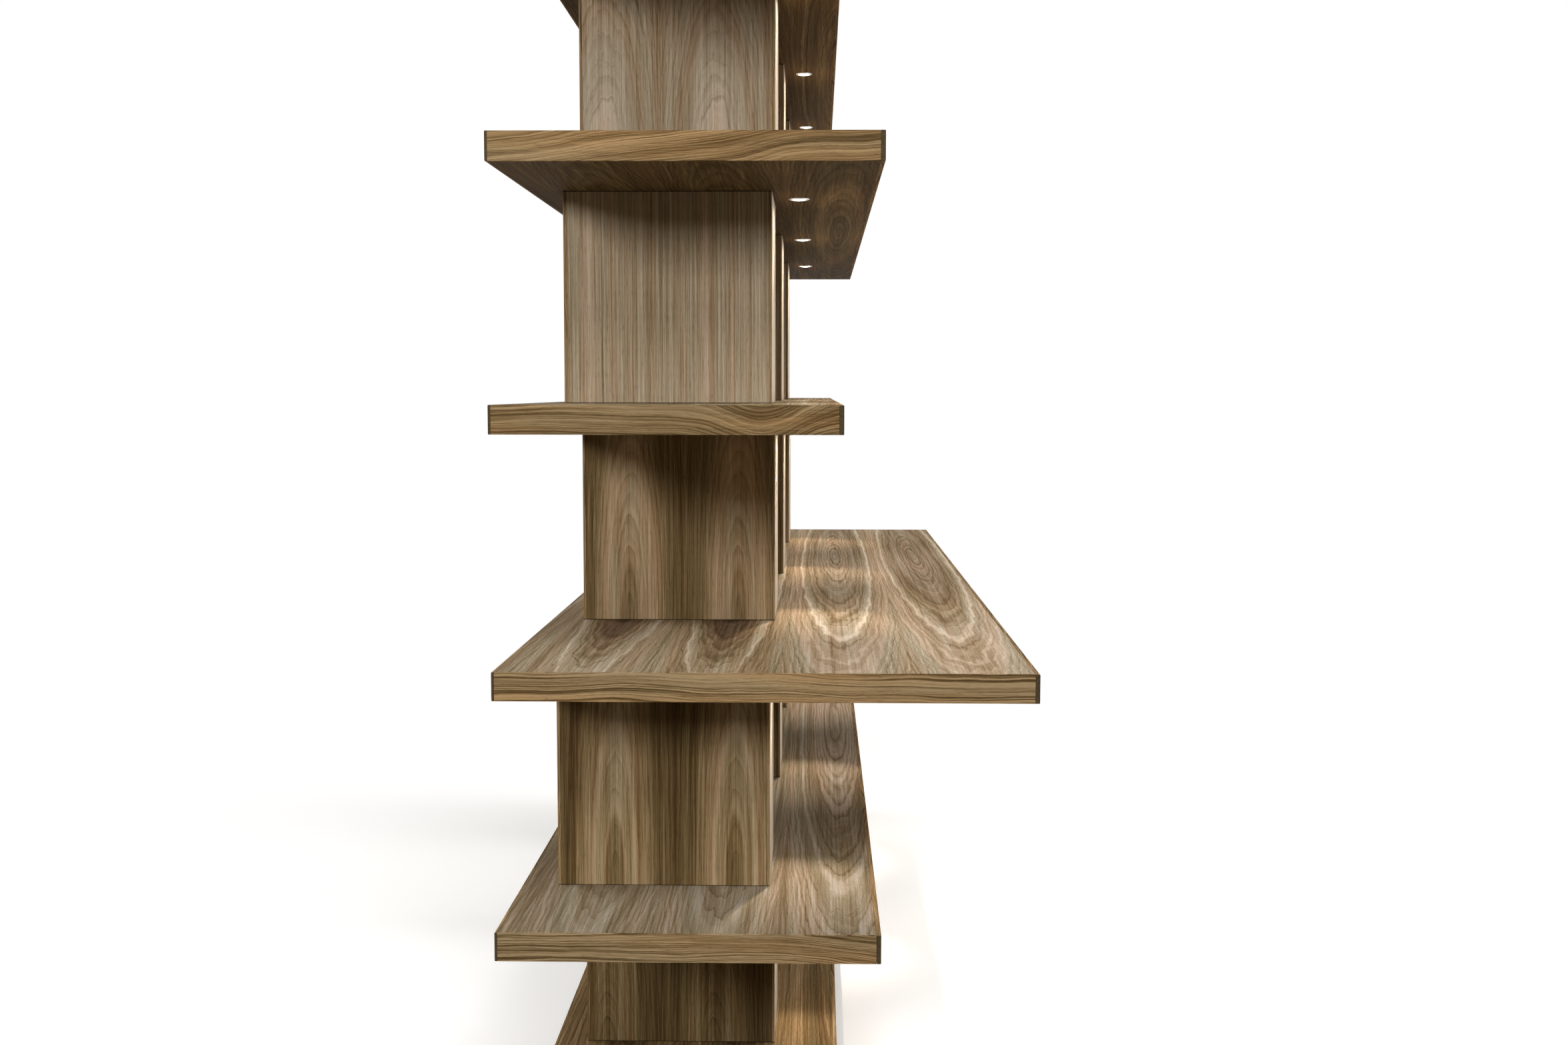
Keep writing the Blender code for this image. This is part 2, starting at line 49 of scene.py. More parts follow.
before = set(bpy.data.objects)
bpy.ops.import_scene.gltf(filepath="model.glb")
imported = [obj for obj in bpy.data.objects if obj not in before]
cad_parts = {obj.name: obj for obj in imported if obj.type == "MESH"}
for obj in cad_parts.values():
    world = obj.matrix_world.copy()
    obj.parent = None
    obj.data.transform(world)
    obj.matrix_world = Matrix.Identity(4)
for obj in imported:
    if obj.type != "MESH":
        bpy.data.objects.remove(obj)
cad_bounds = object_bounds()

SLABS = ("base_shelf", "low_shelf", "desk_shelf", "middle_shelf", "high_shelf", "top_shelf")
TIERS = ("base", "low", "desk", "middle", "high")
POSTS = (1, 2, 3)
FEET = tuple(f"{side}_foot_{number}" for side in ("front", "back") for number in POSTS)
DOWNLIGHTS = tuple(f"{tier}_downlight_{number}" for tier in TIERS for number in POSTS)
RAILS = tuple(f"plinth_{side}_rail" for side in ("front", "back", "near", "far"))
CASE_HIGH = Vector(cad_bounds[1])

# Veneer and edging: lengths in metres, rates per metre.
LEAF_SHIFT = 0.0295  # from the back of the deepest slab to the first seam
LEAF_CHANGE = 0.12  # how much the figure changes from leaf to leaf
FIRST_LEAVES = 1.5  # leaves below this number are the first two
FIRST_BOLDNESS = 0.6  # boldness of the first two leaves against the others
OTHER_CORE = 0.18  # strength of the dark core in the other leaves
SLAB_TAPER = 0.057  # width of an oval against its length
FIGURE_REACH = 0.09  # from the heart to where the ovals have run out
SWAY = 0.018  # how far an oval's middle line sways
TOOTH = 0.0015  # depth of the fine teeth on a ring
FRONT_LEAF = 7.5  # a post's front shows the middle of this leaf, clear of every seam
FRONT_CONTRAST = 0.5  # contrast and tone of the fronts against the cheeks; the fronts are painted paler and cooler, as painted light of the lamps on them
FRONT_SHARE = 0.5
FRONT_PAINTED_PALENESS = 0.12
FRONT_PAINTED_COOL = 0.9
FRONT_PAINTED_STRIP = 0.25  # share of the pale strip colour, painted light on the fronts
UNDERSIDE_BOLDNESS = 0.6
# painted shade: the slabs' undersides are made darker, as they lie in shade
UNDERSIDE_PAINTED_SHADE = 0.07
DIP_WIDTH = 0.062  # half the length of a dip in the edging's lines
WAVE = 0.034  # how far the edging's lines wander
WOBBLE = 0.0042  # and how far they tremble
EDGING_RINGS = 260.0
END_EDGING = 0.0035  # thickness of the edging across a slab's ends
END_GRAIN_DEPTH = 0.0006
BAND_TONE = 0.57
BAND_SLOPE = 0.006
BAND_LEAN = 0.6  # how the grain leans into a band
LIPPING_TONE = 0.62
SEAM_HALF = 0.0003  # half the dark line beside a lipping
GAP_SHADOW_REACH = 0.0025  # height of the painted shadow in the gap where a post meets a slab
LACQUER_GLOSS = 0.03

# Steps between seeds, which keep the figures of neighbours apart.
SLAB_SEED = 11.3
UPPER_SEED = 3.7
BAND_SEED = 2.9
BACK_SEED = 17.0
POST_SEED = 4.3
CHEEK_SEED = 0.4
LIPPING_SEED = 3.0

VENEER_GRAIN = {
    # rates along and across, detail, roughness
    "sway": (1.3, 5.0, 1.0, 0.5),
    "ripple": (9.0, 42.0, 3.0, 0.6),
    "tooth": (30.0, 170.0, 2.0, 0.5),
    "streak": (0.8, 62.0, 3.0, 0.65),
    "strand": (3.0, 260.0, 3.0, 0.7),
    "fibre": (9.0, 760.0, 3.0, 0.7),
    "pore": (60.0, 1500.0, 1.0, 0.5),
    "patch": (1.7, 4.0, 1.0, 0.5),
}
EDGING_GRAIN = {
    # rates along and across, detail, roughness
    "wave": (4.0, 8.0, 1.0, 0.5),
    "wobble": (22.0, 70.0, 2.0, 0.5),
    "broad": (0.9, 95.0, 2.0, 0.5),
    "narrow": (2.0, 520.0, 3.0, 0.65),
    "fibre": (18.0, 1100.0, 3.0, 0.75),
    "pore": (90.0, 2000.0, 1.0, 0.5),
    "fade": (3.0, 60.0, 1.0, 0.5),
    "hue": (2.4, 34.0, 2.0, 0.5),
}

# Tone of the veneer from the heart (0) to FIGURE_REACH (1).
QUIET_RINGS = ((0.0, 0.40), (0.10, 0.44), (0.20, 0.60), (0.30, 0.65), (0.42, 0.61), (0.56, 0.47),
               (0.80, 0.34), (1.0, 0.29))
BOLD_RINGS = ((0.0, 0.46), (0.30, 0.52), (0.60, 0.46), (0.71, 0.49), (0.755, 0.72), (0.81, 0.54),
              (1.0, 0.52))
CORE_FADE = ((0.34, 0.0), (0.70, 1.0))

# Tints that the wood's colours are multiplied by.
VENEER_HUES = ((1.04, 0.98, 0.92), (0.97, 1.005, 0.97))
EDGING_HUES = ((1.03, 0.97, 0.93), (0.95, 1.01, 1.10))
# The cool tint is the upper posts' own grey cast; on the slab tops it is partly painted sheen of
# the lacquer, and on the posts' fronts painted light.
COOL_CAST_AND_PAINTED_LIGHT = (0.90, 1.03, 1.36)
CORE_TINT = (1.0, 0.94, 1.14)

SLAB_FIGURES = (
    # heart below, heart on top, lag of the first two leaves, ripple, dark core, boldness, tone,
    # coolness
    (0.35, 0.95, 0.25, 0.010, 0.12, 1.0, -0.08, 0.00),
    # On the low and desk slabs the dark core of the first two leaves is partly the wood's figure
    # and partly painted shadow of the first posts on the near ends of their tops.
    (0.80, 1.40, -0.20, 0.010, 0.17, 0.7, 0.09, 0.90),
    (1.10, 1.54, -0.40, 0.015, 0.50, 1.0, 0.10, 0.45),
    (0.55, 0.85, 0.30, 0.012, 0.10, 1.0, 0.03, 0.40),
    (0.95, 0.40, 0.20, 0.012, 0.10, 1.0, -0.06, 0.00),
    (1.35, 1.20, 0.35, 0.012, 0.10, 1.0, -0.06, 0.00),
)
END_FIGURES = (
    # slope, bow, middle of the bow, dip, middle of the dip, seed, tone, contrast
    (0.02, 0.10, 0.10, 0.000, 0.000, 3.4, 0.49, 1.20),
    (0.01, 0.18, 0.19, 0.000, 0.000, 9.2, 0.55, 1.45),
    (-0.01, 0.01, 0.00, 0.000, 0.000, 15.7, 0.55, 1.25),
    (0.02, 0.05, 0.25, 0.030, 0.002, 22.3, 0.46, 1.00),
    (0.13, 0.00, 0.00, -0.010, -0.050, 28.6, 0.51, 0.90),
    (-0.04, 0.10, 0.05, 0.000, 0.000, 35.0, 0.50, 1.00),
)
POST_FIGURES = (
    # heart above the foot, taper, offset from the heart, shift of the leaves, seed, ripple,
    # boldness, contrast, tone, coolness
    # The tiers' tones are partly the veneer's own and partly painted light: the upper posts are
    # made paler and the lower darker, standing in for the light that falls more on the upper posts.
    (-0.06, 0.160, 0.00, 0.0540, 31.0, 0.006, 0.00, 0.60, -0.19, 0.0),
    (0.00, 0.124, 0.00, 0.0045, 42.5, 0.006, 0.00, 1.20, -0.05, 0.0),
    (0.00, 0.147, 0.00, 0.0125, 57.3, 0.006, 0.00, 1.05, 0.04, 0.0),
    (0.00, 0.020, 0.20, 0.0300, 68.3, 0.004, 0.05, 0.80, 0.33, 0.4),
    (-0.05, 0.190, 0.00, 0.0465, 73.4, 0.014, 0.10, 0.70, 0.26, 0.4),
)

# Fittings.
SATIN_ALUMINIUM = (0.70, 0.69, 0.67)
ZINC_STEEL = (0.60, 0.60, 0.58)
CABLE_WHITE = (0.80, 0.80, 0.78)
DRIVER_BLACK = (0.030, 0.030, 0.032)
FROSTED_WHITE = (0.93, 0.90, 0.82)
PINE_SHADES = ((0.30, (0.43, 0.29, 0.15)), (0.52, (0.62, 0.46, 0.28)), (0.72, (0.72, 0.57, 0.38)))
RAIL_MARGIN = 0.0002  # the grain turns this far short of the end rails' inner faces
LENS_SEAT = 0.0008  # from a downlight's lowest face up to the middle of its lens
LENS_SEGMENTS = 32
LENS_RINGS = 16
LAMP_DROP = 0.004  # the lamp's distance below the downlight
LAMP_RADIUS = 0.006
BEAM_BLEND = 0.75
SPILL_ANGLE = math.radians(176)

# Studio: lengths in metres.
FLOOR_REACH = 14.0  # half the floor's side
FLOOR_OVAL = (3.0, 2.4)  # half-axes of the oval in which the floor runs out into white
FLOOR_LIFT = 1.15  # how much brighter the camera sees the floor
SURROUND_LIGHT = (1.0, 0.90, 0.74)
STUDIO_LIGHTS = (
    # name, place, point that it faces, side (None: the stage's key size)
    ("key", (-4.95, 2.50, 2.45), (-0.9, 0.10, 1.00), None),
    ("high", (-3.9, -0.5, 3.9), (-1.0, 0.0, 0.9), 1.6),
    ("front", (-0.2, -3.9, 1.25), (0.0, -0.1, 0.95), 2.0),
    ("desk", (0.3, -2.0, 4.0), (0.3, -0.3, 0.76), 1.6),
    ("back", (0.6, 3.2, 3.7), (0.1, 0.3, 0.9), 1.6),
    ("far", (3.6, 1.2, 3.6), (0.9, 0.0, 0.9), 1.6),
)

# Camera, worked out from the corners of the slabs and posts in the photograph.
PHOTO_WIDTH = 2352
FOCAL_PIXELS = 2487.03
SENSOR_WIDTH = 36.0
CAMERA_PLACE = (-3.23960, -0.06623, 1.12640)
CAMERA_AHEAD = (0.99666562, 0.01958695, -0.07920855)
CAMERA_RIGHT = (0.01973622, -0.99980461, 0.00110202)
CAMERA_SIGHT = 60.0  # how far the camera sees


def box_middle(node):
    """Centre of a CAD node's box."""
    low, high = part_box(node)
    return (low + high) / 2


def scaled(colour, factor):
    """A lighter or darker shade of a colour."""
    return [factor * part for part in colour]


def colour_prop(name, description, default):
    """A colour setting."""
    return FloatVectorProperty(name=name, description=description, default=default,
                               subtype="COLOR", size=3, min=0.0, max=1.0)


def length_prop(name, description, default):
    """A length setting in metres."""
    return FloatProperty(name=name, description=description, default=default, min=0.0,
                         unit="LENGTH", precision=5)


def power_prop(name, description, default):
    """A lamp's power in watts."""
    return FloatProperty(name=name, description=description, default=default, min=0.0, unit="POWER")


class BookcaseWood(bpy.types.PropertyGroup):
    """Sizes and colours of the walnut."""

    leaf_width: length_prop("Leaf width", "Width of one leaf of veneer, laid side by side", 0.173)
    ring_pitch: length_prop("Ring pitch", "Mean distance between growth rings", 0.0058)
    dark: colour_prop("Dark", "Darkest veneer, in the heart and the late rings",
                      (0.058, 0.034, 0.013))
    brown: colour_prop("Brown", "Brown veneer", (0.158, 0.103, 0.046))
    middle: colour_prop("Middle", "Main colour of the veneer", (0.262, 0.184, 0.100))
    light: colour_prop("Light", "Light veneer", (0.390, 0.292, 0.188))
    pale: colour_prop("Pale", "Pale ring round the heart", (0.590, 0.455, 0.320))
    edging_dark: colour_prop("Edging dark", "Dark lines of the solid edging", (0.078, 0.045, 0.016))
    edging: colour_prop("Edging", "Main colour of the solid edging", (0.200, 0.129, 0.058))
    edging_light: colour_prop("Edging light", "Light lines of the solid edging",
                              (0.330, 0.225, 0.113))
    end_grain: colour_prop("End grain", "End grain of the edging strips", (0.062, 0.044, 0.024))
    # Painted light: the pale strip colour stands in for the lamps' light on the posts' fronts.
    strip: colour_prop("Strip", "Pale strip on the posts' front faces", (0.680, 0.580, 0.470))
    lipping_width: length_prop("Lipping width", "Width of the solid lipping on a post's corners",
                               0.0045)


class BookcaseLamps(bpy.types.PropertyGroup):
    """The downlights' light."""

    colour: colour_prop("Light colour", "Warm white of the downlights", (1.0, 0.87, 0.73))
    power: power_prop("Power", "Power of one downlight's beam", 3.6)
    spill: power_prop("Spill", "Power of the weak light beside the beam", 0.9)
    beam: FloatProperty(name="Beam", description="Full angle of a downlight's cone",
                        default=math.radians(66), min=0.1, max=math.pi, subtype="ANGLE")
    lean: FloatProperty(name="Lean", description="How far the beams lean towards the near end",
                        default=math.radians(21), min=0.0, max=0.8, subtype="ANGLE")
    lens_glow: FloatProperty(name="Lens glow", description="Brightness of the lit lens",
                             default=9.0, min=0.0)
    lens_radius: length_prop("Lens radius", "Radius of the frosted lens", 0.0110)
    lens_crown: length_prop("Lens crown", "How far the lens stands out at its middle", 0.0022)


class BookcaseStage(bpy.types.PropertyGroup):
    """Floor and studio light."""

    floor: colour_prop("Floor", "Floor as the camera sees it", (1.0, 1.0, 1.0))
    bounce: colour_prop("Bounce", "Floor as the bookcase is lit by it", (0.17, 0.15, 0.12))
    key_power: power_prop("Key power", "Power of the main soft light", 178.0)
    key_size: length_prop("Key size", "Side of the main soft light", 1.05)
    high_power: power_prop("High power", "Power of the high light at the near end", 94.0)
    front_power: power_prop("Front power", "Power of the soft light on the desk side", 120.0)
    desk_power: power_prop("Desk power", "Power of the steep light over the desk", 72.0)
    back_power: power_prop("Back power", "Power of the soft light behind the bookcase", 75.0)
    far_power: power_prop("Far power", "Power of the high light at the far end", 32.0)
    ambient: FloatProperty(name="Ambient", description="Level of the light from all round",
                           default=0.15, min=0.0)


class Pattern:
    """Adds shader nodes to one tree; most methods give back an output socket."""

    def __init__(self, tree):
        self.tree = tree

    def node(self, kind, **settings):
        """A node with its settings."""
        made = self.tree.nodes.new(kind)
        for name, value in settings.items():
            setattr(made, name, value)
        return made

    def feed(self, socket, value):
        """Link a socket into an input, or set the input's value."""
        if isinstance(value, bpy.types.NodeSocket):
            self.tree.links.new(value, socket)
        else:
            socket.default_value = value

    def calc(self, operation, *values):
        """A Math node."""
        made = self.node("ShaderNodeMath", operation=operation)
        for socket, value in zip(made.inputs, values):
            self.feed(socket, value)
        return made.outputs[0]

    def blend(self, factor, first, second):
        """A mix of two numbers."""
        made = self.node("ShaderNodeMix", data_type="FLOAT")
        self.feed(made.inputs["Factor"], factor)
        self.feed(made.inputs["A"], first)
        self.feed(made.inputs["B"], second)
        return made.outputs["Result"]

    def tint(self, factor, first, second, way="MIX"):
        """A mix of two colours."""
        made = self.node("ShaderNodeMix", data_type="RGBA", blend_type=way, clamp_factor=True)
        for name, value in (("Factor_Float", factor), ("A_Color", first), ("B_Color", second)):
            socket = next(item for item in made.inputs if item.identifier == name)
            plain = isinstance(value, (float, bpy.types.NodeSocket))
            self.feed(socket, value if plain else (*value, 1.0))
        return next(item for item in made.outputs if item.identifier == "Result_Color")

    def stops(self, value, interpolation, steps):
        """A ramp through steps of (position, colour)."""
        made = self.node("ShaderNodeValToRGB")
        made.color_ramp.interpolation = interpolation
        elements = made.color_ramp.elements
        while len(elements) < len(steps):
            elements.new(0.5)
        for element, (position, colour) in zip(elements, steps):
            element.position = position
            element.color = (*colour, 1.0)
        self.feed(made.inputs[0], value)
        return made.outputs[0]

    def ramp(self, value, *steps):
        """A smooth curve through numbers: steps are (position, level)."""
        return self.stops(value, "EASE", [(position, (level,) * 3) for position, level in steps])

    def spread(self, value, *steps):
        """A colour that runs through steps of (position, colour)."""
        return self.stops(value, "LINEAR", steps)

    def vector(self, x, y, z):
        """Three numbers as a vector."""
        made = self.node("ShaderNodeCombineXYZ")
        for socket, value in zip(made.inputs, (x, y, z)):
            self.feed(socket, value)
        return made.outputs[0]

    def noise(self, vector, scale=1.0, detail=2.0, roughness=0.5, seed=None):
        """Soft noise round 0.5; a seed picks another pattern."""
        made = self.node("ShaderNodeTexNoise", noise_dimensions="3D" if seed is None else "4D")
        self.feed(made.inputs["Vector"], vector)
        if seed is not None:
            self.feed(made.inputs["W"], seed)
        made.inputs["Scale"].default_value = scale
        made.inputs["Detail"].default_value = detail
        made.inputs["Roughness"].default_value = roughness
        return made.outputs["Fac"]

    def figure(self, along, across, grain, seed):
        """Noise round 0, drawn out by a grain of (rate along, rate across, detail, roughness)."""
        rate_along, rate_across, detail, roughness = grain
        spot = self.vector(self.calc("MULTIPLY", along, rate_along),
                           self.calc("MULTIPLY", across, rate_across), 0.0)
        noise = self.noise(spot, detail=detail, roughness=roughness, seed=seed)
        return self.calc("SUBTRACT", noise, 0.5)

    def whole_place(self):
        """Object coordinates as one vector."""
        return self.node("ShaderNodeTexCoord").outputs["Object"]

    def place(self):
        """Object coordinates as three numbers."""
        split = self.node("ShaderNodeSeparateXYZ")
        self.feed(split.inputs[0], self.whole_place())
        return split.outputs

    def felt(self, shader, height, strength, distance):
        """Let a pattern be felt on a shader's surface."""
        bump = self.node("ShaderNodeBump")
        bump.inputs["Strength"].default_value = strength
        bump.inputs["Distance"].default_value = distance
        self.feed(bump.inputs["Height"], height)
        self.feed(shader.inputs["Normal"], bump.outputs[0])


def wood_group(name, numbers):
    """An empty shader group with number inputs, for a wood's colour and grain."""
    group = bpy.data.node_groups.new(name, "ShaderNodeTree")
    for label in numbers:
        group.interface.new_socket(label, in_out="INPUT", socket_type="NodeSocketFloat")
    group.interface.new_socket("Colour", in_out="OUTPUT", socket_type="NodeSocketColor")
    group.interface.new_socket("Grain", in_out="OUTPUT", socket_type="NodeSocketFloat")
    pattern = Pattern(group)
    entry = pattern.node("NodeGroupInput")
    leave = pattern.node("NodeGroupOutput")
    return pattern, entry.outputs, leave.inputs


def veneer_group(wood):
    """Flat-sawn walnut veneer, laid leaf beside leaf with the same figure.

    A leaf is cut past the heart of the log, so its rings are long ovals: the distance from
    the heart is worked out from the place across the leaf and, foreshortened, along it.
    Bold is 1 on the slabs, whose ovals have a pale ring, and less on the quieter posts.
    The first two leaves are quieter than the others and hold most of the dark core, and
    their hearts lie a lag away from the others'.
    """
    labels = ("Along", "Across", "Heart", "Lag", "Taper", "Seed", "Figure", "Bold", "Tone", "Core",
              "Contrast", "Offset", "Cool")
    pattern, given, result = wood_group("walnut_veneer", labels)
    calc = pattern.calc
    along, across, seed = given["Along"], given["Across"], given["Seed"]
    place = calc("DIVIDE", across, wood.leaf_width)
    leaf = calc("FLOOR", place)
    side = calc("MULTIPLY", calc("SUBTRACT", calc("SUBTRACT", place, leaf), 0.5), wood.leaf_width)
    leaf_seed = calc("ADD", seed, calc("MULTIPLY", leaf, LEAF_CHANGE))

    def figure(name, where, own):
        return pattern.figure(along, where, VENEER_GRAIN[name], own)

    def ring_noise(per_turn, detail, own):
        spot = pattern.vector(calc("MULTIPLY", turns, per_turn), 0.0, 0.0)
        return calc("SUBTRACT", pattern.noise(spot, detail=detail, seed=own), 0.5)

    # How far each place lies from the heart.
    bent = calc("ADD", calc("ADD", side, given["Offset"]),
                calc("MULTIPLY", figure("sway", side, leaf_seed), SWAY))
    first_two = calc("LESS_THAN", leaf, FIRST_LEAVES)
    heart = calc("ADD", given["Heart"], calc("MULTIPLY", first_two, given["Lag"]))
    reach = calc("MULTIPLY", calc("SUBTRACT", along, heart), given["Taper"])
    ring = calc("SQRT", calc("ADD", calc("MULTIPLY", bent, bent), calc("MULTIPLY", reach, reach)))
    ring = calc("ADD", ring, calc("MULTIPLY", figure("ripple", side, leaf_seed), given["Figure"]))
    ring = calc("ADD", ring, calc("MULTIPLY", figure("tooth", side, leaf_seed), TOOTH))

    # Rings, and the lines and pores that run along the leaf.
    turns = calc("DIVIDE", ring, wood.ring_pitch)
    broad = ring_noise(0.33, 1.0, leaf_seed)
    narrow = ring_noise(1.7, 2.0, leaf_seed)
    fade = ring_noise(0.7, 1.0, seed)
    late = calc("POWER", calc("FRACT", calc("ADD", turns, calc("MULTIPLY", broad, 1.6))), 4.0)
    late = calc("MULTIPLY", late, calc("ADD", 0.55, calc("MULTIPLY", fade, 2.4)))
    streak = figure("streak", across, leaf_seed)
    strand = figure("strand", across, leaf_seed)
    fibre = figure("fibre", across, seed)
    pore = figure("pore", across, seed)
    patch = figure("patch", across, leaf_seed)

    # Tone: every part has its share on the quiet veneer and on the bold.
    bold = calc("MULTIPLY", given["Bold"], pattern.blend(first_two, 1.0, FIRST_BOLDNESS))
    reached = calc("DIVIDE", ring, FIGURE_REACH)
    core = calc("SUBTRACT", 1.0, pattern.ramp(reached, *CORE_FADE))
    core = calc("MULTIPLY", calc("MULTIPLY", core, given["Core"]),
                pattern.blend(first_two, OTHER_CORE, 1.0))
    rings = pattern.blend(bold, pattern.ramp(reached, *QUIET_RINGS),
                          pattern.ramp(reached, *BOLD_RINGS))
    varied = calc("SUBTRACT", rings, 0.5)
    for part, on_quiet, on_bold in ((broad, 0.38, 0.36), (patch, 0.15, 0.30)):
        varied = calc("ADD", varied, calc("MULTIPLY", part, pattern.blend(bold, on_quiet, on_bold)))
    tone = calc("ADD", calc("ADD", given["Tone"], 0.5), calc("MULTIPLY", varied, given["Contrast"]))
    for part, on_quiet, on_bold in ((narrow, 0.36, 0.72), (late, -0.20, -0.30),
                                    (streak, 0.50, 0.48), (strand, 0.66, 0.60),
                                    (fibre, 0.66, 0.42)):
        tone = calc("ADD", tone, calc("MULTIPLY", part, pattern.blend(bold, on_quiet, on_bold)))
    tone = calc("SUBTRACT", tone, core)

    # Colour, with a hue that wanders, a cool tint where it is asked for, partly the veneer's grey
    # cast and partly painted light, and dark pores.
    colour = pattern.spread(tone, (0.12, wood.dark), (0.38, wood.brown), (0.54, wood.middle),
                            (0.72, wood.light), (0.95, wood.pale))
    wander = calc("ADD", calc("MULTIPLY", ring_noise(0.21, 1.0, seed), 1.6),
                  calc("MULTIPLY", streak, 1.2))
    hue = pattern.ramp(calc("ADD", 0.5, wander), (0.3, 0.0), (0.7, 1.0))
    colour = pattern.tint(1.0, colour, pattern.tint(hue, *VENEER_HUES), "MULTIPLY")
    colour = pattern.tint(given["Cool"], colour, pattern.tint(1.0, colour, COOL_CAST_AND_PAINTED_LIGHT, "MULTIPLY"))
    colour = pattern.tint(calc("MULTIPLY", core, 3.0), colour,
                          pattern.tint(1.0, colour, CORE_TINT, "MULTIPLY"))
    specks = pattern.ramp(calc("ADD", pore, 0.5), (0.30, 0.60), (0.42, 1.0))
    grain = calc("ADD", fibre, calc("MULTIPLY", specks, 0.5))
    pattern.feed(result["Colour"], pattern.tint(1.0, colour, specks, "MULTIPLY"))
    pattern.feed(result["Grain"], calc("ADD", 0.5, grain))


def edging_group(wood):
    """Solid walnut edging: fine lines that slope, bow or dip across the strip."""
    labels = ("Along", "Across", "Seed", "Tone", "Contrast", "Slope", "Bow", "Bow middle", "Dip",
              "Dip middle")
    pattern, given, result = wood_group("walnut_edging", labels)
    calc = pattern.calc
    along, across = given["Along"], given["Across"]

    def figure(name, where=across):
        return pattern.figure(along, where, EDGING_GRAIN[name], given["Seed"])

    # The line of the grain that each place lies on.
    from_bow = calc("SUBTRACT", along, given["Bow middle"])
    from_dip = calc("DIVIDE", calc("SUBTRACT", along, given["Dip middle"]), DIP_WIDTH)
    dip = calc("EXPONENT", calc("MULTIPLY", calc("MULTIPLY", from_dip, from_dip), -1.0))
    line = calc("ADD", across, calc("MULTIPLY", along, given["Slope"]))
    line = calc("ADD", line, calc("MULTIPLY", calc("MULTIPLY", from_bow, from_bow), given["Bow"]))
    line = calc("ADD", line, calc("MULTIPLY", dip, given["Dip"]))
    line = calc("ADD", line, calc("MULTIPLY", figure("wave"), WAVE))
    line = calc("ADD", line, calc("MULTIPLY", figure("wobble"), WOBBLE))

    # Tone and colour along those lines.
    broad = figure("broad", line)
    narrow = figure("narrow", line)
    fibre = figure("fibre")
    turns = calc("ADD", calc("MULTIPLY", line, EDGING_RINGS), calc("MULTIPLY", broad, 4.0))
    late = calc("MULTIPLY", calc("POWER", calc("FRACT", turns), 5.0),
                pattern.ramp(calc("ADD", figure("fade"), 0.5), (0.38, 0.15), (0.66, 1.0)))
    varied = calc("MULTIPLY", broad, 0.72)
    for part, share in ((narrow, 1.25), (fibre, 0.66), (late, -0.50)):
        varied = calc("ADD", varied, calc("MULTIPLY", part, share))
    tone = calc("ADD", given["Tone"], calc("MULTIPLY", varied, given["Contrast"]))
    colour = pattern.spread(tone, (0.28, wood.edging_dark), (0.50, wood.edging),
                            (0.70, wood.edging_light))
    hue = pattern.ramp(calc("ADD", 0.5, figure("hue")), (0.36, 0.0), (0.64, 1.0))
    colour = pattern.tint(1.0, colour, pattern.tint(hue, *EDGING_HUES), "MULTIPLY")
    specks = pattern.ramp(calc("ADD", figure("pore"), 0.5), (0.30, 0.62), (0.40, 1.0))
    grain = calc("ADD", fibre, calc("MULTIPLY", specks, 0.4))
    pattern.feed(result["Colour"], pattern.tint(1.0, colour, specks, "MULTIPLY"))
    pattern.feed(result["Grain"], calc("ADD", 0.5, grain))


def use_group(pattern, name, **values):
    """Put a finished group into a tree and feed its inputs."""
    made = pattern.node("ShaderNodeGroup", node_tree=bpy.data.node_groups[name])
    for label, value in values.items():
        pattern.feed(made.inputs[label], value)
    return made.outputs


def new_material(name):
    """A node material and the pattern writer for its tree."""
    material = bpy.data.materials.new(name)
    material.use_nodes = True
    return material, Pattern(material.node_tree)


def textured(pattern, material, colour, marks, roughness, wander, strength, depth):
    """Finish a material whose roughness and surface follow its marks, and give its shader."""
    shader = material.node_tree.nodes["Principled BSDF"]
    above_least = pattern.calc("MULTIPLY", marks, wander)
    pattern.feed(shader.inputs["Base Color"], colour)
    pattern.feed(shader.inputs["Roughness"],
                 pattern.calc("ADD", roughness - wander / 2, above_least))
    pattern.felt(shader, marks, strength, depth)
    return shader


def lacquered(pattern, material, colour, grain, roughness=0.66, depth=0.00012):
    """Finish a wood material with its satin lacquer: low sheen, and grain that can be felt."""
    shader = textured(pattern, material, colour, grain, roughness, wander=0.10, strength=0.55,
                      depth=depth)
    shader.inputs["Specular IOR Level"].default_value = LACQUER_GLOSS
    return material


